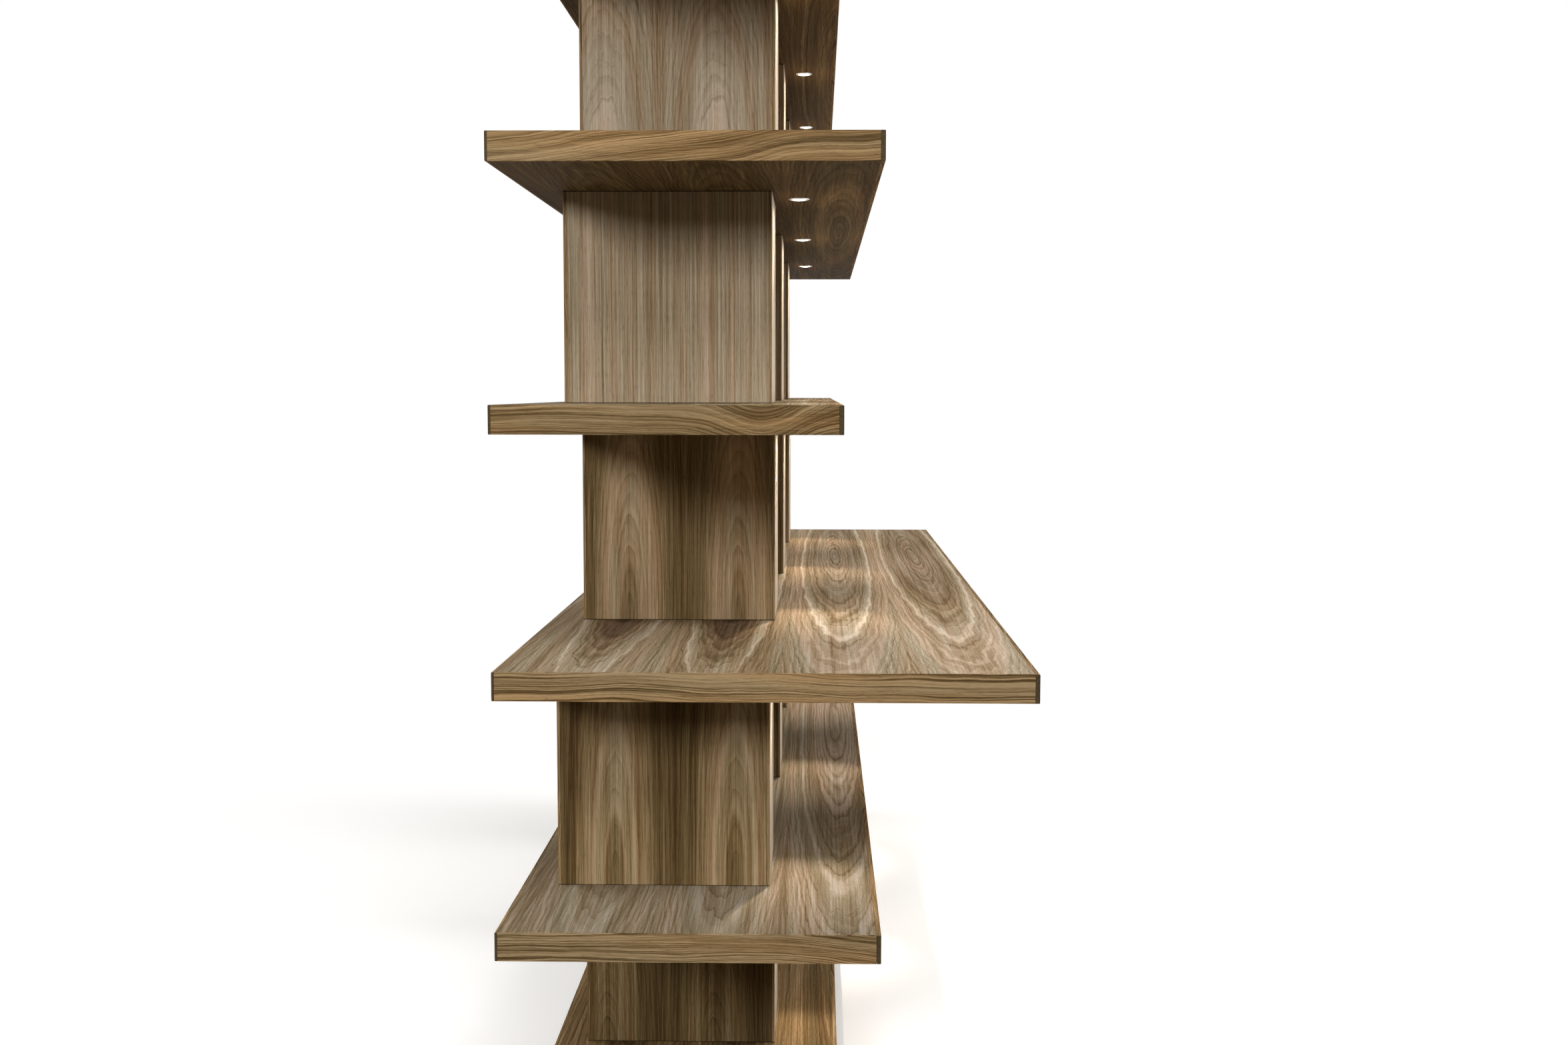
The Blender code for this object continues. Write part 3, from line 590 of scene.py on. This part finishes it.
def slab_material(slab):
    """Veneered slab: leaves along the length on both faces, and edging across its ends."""
    name = SLABS[slab]
    low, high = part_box(f"{name}_panel")
    material, pattern = new_material(f"walnut_{name}")
    calc = pattern.calc
    x, y, z = pattern.place()
    along = calc("SUBTRACT", x, low.x)
    across = calc("SUBTRACT", CASE_HIGH.y - LEAF_SHIFT, y)
    upper = calc("GREATER_THAN", z, (low.z + high.z) / 2)
    own = calc("ADD", calc("MULTIPLY", upper, UPPER_SEED), SLAB_SEED * slab + 1.0)
    under_heart, top_heart, lag, ripple, core, bold, tone, cool = SLAB_FIGURES[slab]
    veneer = use_group(pattern, "walnut_veneer", Along=along, Across=across,
                       Heart=pattern.blend(upper, under_heart, top_heart), Taper=SLAB_TAPER,
                       Seed=own, Figure=ripple, Lag=lag, Core=core, Contrast=1.0,
                       Bold=pattern.blend(upper, UNDERSIDE_BOLDNESS, bold),
                       # Painted shade: a darker tone on the underside.
                       Tone=pattern.blend(upper, tone - UNDERSIDE_PAINTED_SHADE, tone),
                       # Cool tint on the tops: partly the veneer's grey cast, partly painted sheen
                       # of the lacquer.
                       Cool=pattern.blend(upper, 0.0, cool))
    slope, bow, bow_middle, dip, dip_middle, seed, end_tone, contrast = END_FIGURES[slab]
    edging = use_group(pattern, "walnut_edging", Along=y, Across=z,
                       Seed=calc("ADD", seed, calc("SIGN", x)), Tone=end_tone, Contrast=contrast,
                       Slope=slope, Bow=bow, Dip=dip,
                       **{"Bow middle": bow_middle, "Dip middle": dip_middle})
    edge = calc("GREATER_THAN", calc("ABSOLUTE", x), CASE_HIGH.x - END_EDGING)
    colour = pattern.tint(edge, veneer["Colour"], edging["Colour"])
    grain = pattern.blend(edge, veneer["Grain"], edging["Grain"])
    return lacquered(pattern, material, colour, grain)


def band_material(slab, side, wood):
    """Solid strip on a long edge: grain along it, dark end grain at its two ends."""
    material, pattern = new_material(f"walnut_{SLABS[slab]}_{side}_band")
    calc = pattern.calc
    x, y, z = pattern.place()
    seed = BAND_SEED * slab + (0.0 if side == "front" else BACK_SEED)
    edging = use_group(pattern, "walnut_edging", Along=x,
                       Across=calc("ADD", z, calc("MULTIPLY", y, BAND_LEAN)),
                       Seed=seed, Tone=BAND_TONE, Contrast=1.0, Slope=BAND_SLOPE)
    end_face = pattern.vector(0.0, y, z)
    dots = pattern.noise(end_face, scale=2600.0, seed=seed)
    rings = pattern.noise(end_face, scale=260.0, seed=seed)
    mottle = calc("ADD", calc("MULTIPLY", dots, 0.6), calc("MULTIPLY", rings, 0.4))
    end_colour = pattern.spread(mottle, (0.35, scaled(wood.end_grain, 0.5)),
                                (0.65, scaled(wood.end_grain, 1.5)))
    end = calc("GREATER_THAN", calc("ABSOLUTE", x), CASE_HIGH.x - END_GRAIN_DEPTH)
    colour = pattern.tint(end, edging["Colour"], end_colour)
    grain = pattern.blend(end, edging["Grain"], mottle)
    return lacquered(pattern, material, colour, grain)


def post_material(tier, wood):
    """Veneered posts of one tier: upright leaves, solid corner lippings, painted light on the
    fronts, painted shadow at the ends.
    """
    name = TIERS[tier]
    first = box_middle(f"{name}_post_1")
    pitch = box_middle(f"{name}_post_2").x - first.x
    low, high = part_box(f"{name}_post_1")
    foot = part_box(f"{SLABS[tier]}_panel")[1].z
    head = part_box(f"{SLABS[tier + 1]}_panel")[0].z
    half_x = (high.x - low.x) / 2
    half_y = (high.y - low.y) / 2
    heart, taper, offset, shift, seed, ripple, bold, contrast, tone, cool = POST_FIGURES[tier]
    material, pattern = new_material(f"walnut_{name}_posts")
    calc = pattern.calc
    x, y, z = pattern.place()

    # Which post a place is on, and where on it: cheeks face the ends, fronts face the desk side.
    number = calc("ROUND", calc("DIVIDE", calc("SUBTRACT", x, first.x), pitch))
    from_x = calc("SUBTRACT", calc("SUBTRACT", x, first.x), calc("MULTIPLY", number, pitch))
    from_y = calc("SUBTRACT", y, first.y)
    edge_x = calc("SUBTRACT", half_x, calc("ABSOLUTE", from_x))
    edge_y = calc("SUBTRACT", half_y, calc("ABSOLUTE", from_y))
    cheek = calc("LESS_THAN", edge_x, edge_y)
    front = calc("MULTIPLY", calc("SUBTRACT", 1.0, cheek), calc("LESS_THAN", from_y, 0.0))
    across = pattern.blend(cheek, calc("ADD", from_x, FRONT_LEAF * wood.leaf_width),
                           calc("SUBTRACT", half_y + shift, from_y))
    height = calc("SUBTRACT", z, foot)
    own = calc("ADD", calc("MULTIPLY", number, POST_SEED),
               calc("MULTIPLY", calc("SIGN", from_x), CHEEK_SEED))

    # The fronts are painted paler and cooler than the cheeks, with less contrast: painted light of
    # the lamps that fall on them.
    veneer = use_group(pattern, "walnut_veneer", Along=height, Across=across, Heart=heart,
                       Taper=taper, Offset=offset, Seed=calc("ADD", own, seed), Figure=ripple,
                       Bold=bold,
                       Contrast=pattern.blend(cheek, FRONT_CONTRAST * contrast, contrast),
                       Tone=pattern.blend(front, tone, FRONT_SHARE * tone + FRONT_PAINTED_PALENESS),
                       Cool=pattern.blend(front, cool, FRONT_PAINTED_COOL))
    lipping = use_group(pattern, "walnut_edging", Along=height, Across=calc("ADD", from_x, from_y),
                        Seed=calc("ADD", own, seed + LIPPING_SEED), Tone=LIPPING_TONE, Contrast=1.0)
    margin = pattern.blend(cheek, 1.0, edge_y)
    lip = calc("LESS_THAN", margin, wood.lipping_width)
    from_seam = calc("ABSOLUTE", calc("SUBTRACT", margin, wood.lipping_width))
    seam = calc("LESS_THAN", from_seam, SEAM_HALF)
    # Painted light: a share of the pale strip colour on the fronts.
    colour = pattern.tint(calc("MULTIPLY", front, FRONT_PAINTED_STRIP), veneer["Colour"], wood.strip)
    colour = pattern.tint(lip, colour, lipping["Colour"])
    # Painted shadow: the post darkens towards its foot and head, where the gap to the slab lies in
    # shade.
    ends = calc("MINIMUM", height, calc("SUBTRACT", head, z))
    gap_shadow = pattern.ramp(calc("MULTIPLY", ends, 1.0 / GAP_SHADOW_REACH), (0.30, 0.22), (0.62, 1.0))
    colour = pattern.tint(1.0, colour, gap_shadow, "MULTIPLY")
    colour = pattern.tint(calc("MULTIPLY", seam, 0.55), colour, wood.dark)
    grain = pattern.blend(lip, veneer["Grain"], lipping["Grain"])
    return lacquered(pattern, material, colour, grain)


def lit_lens_material(lamps):
    """Frosted lens, lit from behind, with a fine frost in its light and on its face."""
    material, pattern = new_material("lit_lens")
    shader = material.node_tree.nodes["Principled BSDF"]
    shader.inputs["Base Color"].default_value = (*FROSTED_WHITE, 1.0)
    shader.inputs["Roughness"].default_value = 0.35
    shader.inputs["Emission Strength"].default_value = lamps.lens_glow
    frost = pattern.noise(pattern.whole_place(), scale=1800.0)
    brightest = [min(1.0, part) for part in scaled(lamps.colour, 1.08)]
    pattern.feed(shader.inputs["Emission Color"],
                 pattern.spread(frost, (0.3, lamps.colour), (0.7, brightest)))
    pattern.felt(shader, frost, strength=1.0, distance=0.0001)
    return material


def metal_material(name, colour, roughness, scale, stretch):
    """Metal with fine turned or rolled marks."""
    material, pattern = new_material(name)
    x, y, z = pattern.place()
    marks = pattern.noise(pattern.vector(x, y, pattern.calc("MULTIPLY", z, stretch)), scale=scale,
                          detail=3.0)
    haze = pattern.noise(pattern.whole_place(), scale=90.0)
    shade = pattern.spread(haze, (0.3, scaled(colour, 0.86)), (0.7, colour))
    shader = textured(pattern, material, shade, marks, roughness, wander=0.12, strength=0.3,
                      depth=0.00005)
    shader.inputs["Metallic"].default_value = 1.0
    return material


def moulded_material(name, colour, roughness):
    """Moulded plastic with a fine spark-eroded texture."""
    material, pattern = new_material(name)
    texture = pattern.noise(pattern.whole_place(), scale=2400.0)
    haze = pattern.noise(pattern.whole_place(), scale=60.0)
    shade = pattern.spread(haze, (0.3, scaled(colour, 0.9)), (0.7, scaled(colour, 1.08)))
    textured(pattern, material, shade, texture, roughness, wander=0.10, strength=0.25,
             depth=0.00008)
    return material


def batten_material():
    """Planed softwood battens: straight grain along whichever way the rail runs."""
    material, pattern = new_material("batten_pine")
    calc = pattern.calc
    x, y, z = pattern.place()
    inner_face = -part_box("plinth_near_rail")[1].x
    ends = calc("GREATER_THAN", calc("ABSOLUTE", x), inner_face - RAIL_MARGIN)
    along = pattern.blend(ends, x, y)
    across = pattern.blend(ends, y, x)
    warp = pattern.noise(pattern.vector(calc("MULTIPLY", along, 2.0),
                                        calc("MULTIPLY", across, 12.0), z))
    warped = calc("ADD", z, calc("MULTIPLY", warp, 0.02))
    lines = pattern.noise(pattern.vector(calc("MULTIPLY", along, 1.5),
                                         calc("MULTIPLY", across, 130.0),
                                         calc("MULTIPLY", warped, 130.0)), detail=3.0)
    colour = pattern.spread(lines, *PINE_SHADES)
    return lacquered(pattern, material, colour, lines, roughness=0.62, depth=0.0002)


def seen_directly(pattern):
    """1 for rays from the camera and for what gloss and glass show, 0 for the light on things."""
    path = pattern.node("ShaderNodeLightPath")
    seen = pattern.calc("MAXIMUM", path.outputs["Is Camera Ray"], path.outputs["Is Glossy Ray"])
    return pattern.calc("MAXIMUM", seen, path.outputs["Is Transmission Ray"])


def mix_shaders(pattern, factor, first, second):
    """A mix of two shaders."""
    made = pattern.node("ShaderNodeMixShader")
    for socket, value in zip(made.inputs, (factor, first, second)):
        pattern.feed(socket, value)
    return made.outputs[0]


def floor_material(stage):
    """Pale floor: keeps the shadow, runs out into white, and is seen through from below."""
    material, pattern = new_material("pale_floor")
    calc = pattern.calc
    nodes = material.node_tree.nodes
    nodes.remove(nodes["Principled BSDF"])
    seen = seen_directly(pattern)
    squares = [calc("POWER", calc("DIVIDE", calc("ABSOLUTE", way), half), 2.0)
               for way, half in zip(pattern.place(), FLOOR_OVAL)]
    away = calc("SQRT", calc("ADD", *squares))
    runs_out = calc("MULTIPLY", pattern.ramp(away, (0.40, 0.0), (0.92, 1.0)), seen)
    matte = pattern.node("ShaderNodeBsdfDiffuse")
    pattern.feed(matte.inputs["Color"],
                 pattern.tint(seen, stage.bounce, scaled(stage.floor, FLOOR_LIFT)))
    white = pattern.node("ShaderNodeEmission")
    above = mix_shaders(pattern, runs_out, matte.outputs[0], white.outputs[0])
    from_below = pattern.node("ShaderNodeNewGeometry").outputs["Backfacing"]
    clear = pattern.node("ShaderNodeBsdfTransparent")
    both = mix_shaders(pattern, calc("MULTIPLY", seen, from_below), above, clear.outputs[0])
    pattern.feed(nodes["Material Output"].inputs["Surface"], both)
    return material


def dress(node, material):
    """Give a CAD node its finish."""
    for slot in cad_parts[node].material_slots:
        slot.material = material


def plain_piece(name, mesh, material):
    """Link a finished mesh as a piece that stands still with the case."""
    piece = bpy.data.objects.new(name, mesh)
    bpy.context.scene.collection.objects.link(piece)
    mesh.materials.clear()
    mesh.materials.append(material)
    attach(piece, "root")
    return piece


def grown_mesh(points, tree, values):
    """Run a geometry tree on loose points and give back the mesh that it makes."""
    seat = bpy.data.meshes.new("seat")
    seat.from_pydata(points, [], [])
    holder = bpy.data.objects.new("seat", seat)
    bpy.context.scene.collection.objects.link(holder)
    change = holder.modifiers.new("Grow", "NODES")
    change.node_group = tree
    for item in tree.interface.items_tree:
        if item.item_type == "SOCKET" and item.in_out == "INPUT" and item.name in values:
            change[item.identifier] = values[item.name]
    graph = bpy.context.evaluated_depsgraph_get()
    mesh = bpy.data.meshes.new_from_object(holder.evaluated_get(graph))
    holder.modifiers.clear()
    bpy.data.objects.remove(holder)
    return mesh


def lens_tree(material):
    """Geometry tree: a shallow crowned lens on every point, its lower half showing."""
    tree = bpy.data.node_groups.new("crowned_lens", "GeometryNodeTree")
    for name, kind in (("Geometry", "NodeSocketGeometry"), ("Lens radius", "NodeSocketFloat"),
                       ("Crown", "NodeSocketFloat")):
        tree.interface.new_socket(name, in_out="INPUT", socket_type=kind)
    tree.interface.new_socket("Geometry", in_out="OUTPUT", socket_type="NodeSocketGeometry")
    nodes, links = tree.nodes, tree.links
    entry = nodes.new("NodeGroupInput")
    leave = nodes.new("NodeGroupOutput")
    ball = nodes.new("GeometryNodeMeshUVSphere")
    ball.inputs["Segments"].default_value = LENS_SEGMENTS
    ball.inputs["Rings"].default_value = LENS_RINGS
    ball.inputs["Radius"].default_value = 1.0
    size = nodes.new("ShaderNodeCombineXYZ")
    links.new(entry.outputs["Lens radius"], size.inputs["X"])
    links.new(entry.outputs["Lens radius"], size.inputs["Y"])
    links.new(entry.outputs["Crown"], size.inputs["Z"])
    copies = nodes.new("GeometryNodeInstanceOnPoints")
    links.new(entry.outputs["Geometry"], copies.inputs["Points"])
    links.new(ball.outputs["Mesh"], copies.inputs["Instance"])
    links.new(size.outputs[0], copies.inputs["Scale"])
    whole = nodes.new("GeometryNodeRealizeInstances")
    links.new(copies.outputs[0], whole.inputs[0])
    smooth = nodes.new("GeometryNodeSetShadeSmooth")
    links.new(whole.outputs[0], smooth.inputs[0])
    paint = nodes.new("GeometryNodeSetMaterial")
    paint.inputs["Material"].default_value = material
    links.new(smooth.outputs[0], paint.inputs[0])
    links.new(paint.outputs[0], leave.inputs[0])
    return tree


def place_light(name, kind, colour, power):
    """A new light, linked into the scene, and its lamp."""
    lamp = bpy.data.lights.new(name, kind)
    lamp.color = colour
    lamp.energy = power
    light = bpy.data.objects.new(name, lamp)
    bpy.context.scene.collection.objects.link(light)
    return light, lamp


def soft_light(name, place, aim, size, power):
    """A square white studio light that faces a point."""
    light, lamp = place_light(name, "AREA", (1.0, 1.0, 1.0), power)
    lamp.size = size
    light.location = place
    light.rotation_euler = (Vector(aim) - Vector(place)).to_track_quat("-Z", "Y").to_euler()


def small_lamp(name, place, colour, power, angle, lean):
    """A small spot that shines down from a lens, leaning towards the near end."""
    light, lamp = place_light(name, "SPOT", colour, power)
    lamp.spot_size = angle
    lamp.spot_blend = BEAM_BLEND
    lamp.shadow_soft_size = LAMP_RADIUS
    light.location = place
    light.rotation_euler = (0.0, lean, 0.0)


class BOOKCASE_OT_slabs(bpy.types.Operator):
    """Veneer the slabs and edge their ends"""

    bl_idname = "bookcase.slabs"
    bl_label = "Veneer the slabs"

    def execute(self, context):
        wood = context.scene.bookcase_wood
        veneer_group(wood)
        edging_group(wood)
        for slab, name in enumerate(SLABS):
            dress(f"{name}_panel", slab_material(slab))
        return {"FINISHED"}


class BOOKCASE_OT_bands(bpy.types.Operator):
    """Finish the solid strips on the slabs' long edges"""

    bl_idname = "bookcase.bands"
    bl_label = "Finish the edge bands"

    def execute(self, context):
        wood = context.scene.bookcase_wood
        for slab, name in enumerate(SLABS):
            for side in ("front", "back"):
                dress(f"{name}_{side}_band", band_material(slab, side, wood))
        return {"FINISHED"}


class BOOKCASE_OT_posts(bpy.types.Operator):
    """Veneer the posts, tier by tier"""

    bl_idname = "bookcase.posts"
    bl_label = "Veneer the posts"

    def execute(self, context):
        for tier, name in enumerate(TIERS):
            material = post_material(tier, context.scene.bookcase_wood)
            for number in POSTS:
                dress(f"{name}_post_{number}", material)
        return {"FINISHED"}


class BOOKCASE_OT_downlights(bpy.types.Operator):
    """Finish the downlights, give them lenses and light them"""

    bl_idname = "bookcase.downlights"
    bl_label = "Light the downlights"

    def execute(self, context):
        lamps = context.scene.bookcase_lamps
        satin = metal_material("satin_aluminium", SATIN_ALUMINIUM, roughness=0.32, scale=900.0,
                               stretch=0.2)
        seats = []
        for node in DOWNLIGHTS:
            dress(node, satin)
            low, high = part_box(node)
            middle = (low + high) / 2
            seats.append((middle.x, middle.y, low.z + LENS_SEAT))
            below = Vector((middle.x, middle.y, low.z - LAMP_DROP))
            small_lamp(f"{node}_beam", below, lamps.colour, lamps.power, lamps.beam, lamps.lean)
            small_lamp(f"{node}_spill", below, lamps.colour, lamps.spill, SPILL_ANGLE, 0.0)
        lens = lit_lens_material(lamps)
        mesh = grown_mesh(seats, lens_tree(lens),
                          {"Lens radius": lamps.lens_radius, "Crown": lamps.lens_crown})
        plain_piece("downlight_lenses", mesh, lens)
        return {"FINISHED"}


class BOOKCASE_OT_fittings(bpy.types.Operator):
    """Finish the wiring, the driver, the plinth and the feet"""

    bl_idname = "bookcase.fittings"
    bl_label = "Finish the fittings"

    def execute(self, context):
        dress("lighting_loom", moulded_material("cable_jacket", CABLE_WHITE, roughness=0.42))
        dress("led_driver", moulded_material("driver_case", DRIVER_BLACK, roughness=0.48))
        pine = batten_material()
        for rail in RAILS:
            dress(rail, pine)
        zinc = metal_material("zinc_steel", ZINC_STEEL, roughness=0.34, scale=700.0, stretch=6.0)
        for foot in FEET:
            dress(foot, zinc)
        return {"FINISHED"}


class BOOKCASE_OT_stage(bpy.types.Operator):
    """Lay the floor, light the studio and set the camera"""

    bl_idname = "bookcase.stage"
    bl_label = "Set the stage"

    def execute(self, context):
        stage = context.scene.bookcase_stage
        context.scene.view_settings.view_transform = "Standard"
        self.lay_floor(stage)
        for name, place, aim, size in STUDIO_LIGHTS:
            soft_light(f"{name}_light", place, aim, size or stage.key_size,
                       getattr(stage, f"{name}_power"))
        self.surround(context.scene, stage)
        self.set_camera(context.scene)
        return {"FINISHED"}

    @staticmethod
    def lay_floor(stage):
        """A wide square floor under the bookcase."""
        mesh = bpy.data.meshes.new("floor")
        corners = [(x * FLOOR_REACH, y * FLOOR_REACH, 0.0)
                   for x, y in ((-1, -1), (1, -1), (1, 1), (-1, 1))]
        mesh.from_pydata(corners, [], [(0, 1, 2, 3)])
        mesh.materials.append(floor_material(stage))
        floor = bpy.data.objects.new("studio_floor", mesh)
        bpy.context.scene.collection.objects.link(floor)

    @staticmethod
    def surround(scene, stage):
        """A world that looks white and gives a weak warm light from all round."""
        world = bpy.data.worlds.new("white_surround")
        world.use_nodes = True
        pattern = Pattern(world.node_tree)
        backdrop = world.node_tree.nodes["Background"]
        seen = seen_directly(pattern)
        pattern.feed(backdrop.inputs["Color"], pattern.tint(seen, SURROUND_LIGHT, (1.0, 1.0, 1.0)))
        pattern.feed(backdrop.inputs["Strength"], pattern.blend(seen, stage.ambient, 1.0))
        scene.world = world

    @staticmethod
    def set_camera(scene):
        """The photograph's view along the length, from the near end."""
        camera = bpy.data.objects.new("camera", bpy.data.cameras.new("camera"))
        scene.collection.objects.link(camera)
        camera.data.sensor_width = SENSOR_WIDTH
        camera.data.lens = SENSOR_WIDTH * FOCAL_PIXELS / PHOTO_WIDTH
        camera.data.clip_end = CAMERA_SIGHT
        ahead = Vector(CAMERA_AHEAD)
        right = Vector(CAMERA_RIGHT)
        up = right.cross(ahead)
        turn = Matrix((right, up, -ahead)).transposed().to_4x4()
        camera.matrix_world = Matrix.Translation(CAMERA_PLACE) @ turn
        scene.camera = camera


class BOOKCASE_PT_panel(bpy.types.Panel):
    """Buttons and settings of the bookcase"""

    bl_label = "Bookcase"
    bl_idname = "BOOKCASE_PT_panel"
    bl_space_type = "VIEW_3D"
    bl_region_type = "UI"
    bl_category = "Bookcase"

    def draw(self, context):
        scene = context.scene
        for group in (scene.bookcase_wood, scene.bookcase_lamps, scene.bookcase_stage):
            for name in group.__annotations__:
                self.layout.prop(group, name)
        for operator in OPERATORS:
            self.layout.operator(operator.bl_idname)


GROUPS = (BookcaseWood, BookcaseLamps, BookcaseStage)
OPERATORS = (
    BOOKCASE_OT_slabs,
    BOOKCASE_OT_bands,
    BOOKCASE_OT_posts,
    BOOKCASE_OT_downlights,
    BOOKCASE_OT_fittings,
    BOOKCASE_OT_stage,
)


def register():
    """Register the classes and the scene's settings."""
    for item in (*GROUPS, *OPERATORS, BOOKCASE_PT_panel):
        bpy.utils.register_class(item)
    bpy.types.Scene.bookcase_wood = PointerProperty(type=BookcaseWood)
    bpy.types.Scene.bookcase_lamps = PointerProperty(type=BookcaseLamps)
    bpy.types.Scene.bookcase_stage = PointerProperty(type=BookcaseStage)


def unregister():
    """Take the classes and the settings away again."""
    del bpy.types.Scene.bookcase_stage
    del bpy.types.Scene.bookcase_lamps
    del bpy.types.Scene.bookcase_wood
    for item in reversed((*GROUPS, *OPERATORS, BOOKCASE_PT_panel)):
        bpy.utils.unregister_class(item)


def main():
    """Dress the bookcase."""
    register()
    bpy.ops.bookcase.slabs()
    bpy.ops.bookcase.bands()
    bpy.ops.bookcase.posts()
    bpy.ops.bookcase.downlights()
    bpy.ops.bookcase.fittings()
    bpy.ops.bookcase.stage()


if __name__ == "__main__":
    main()
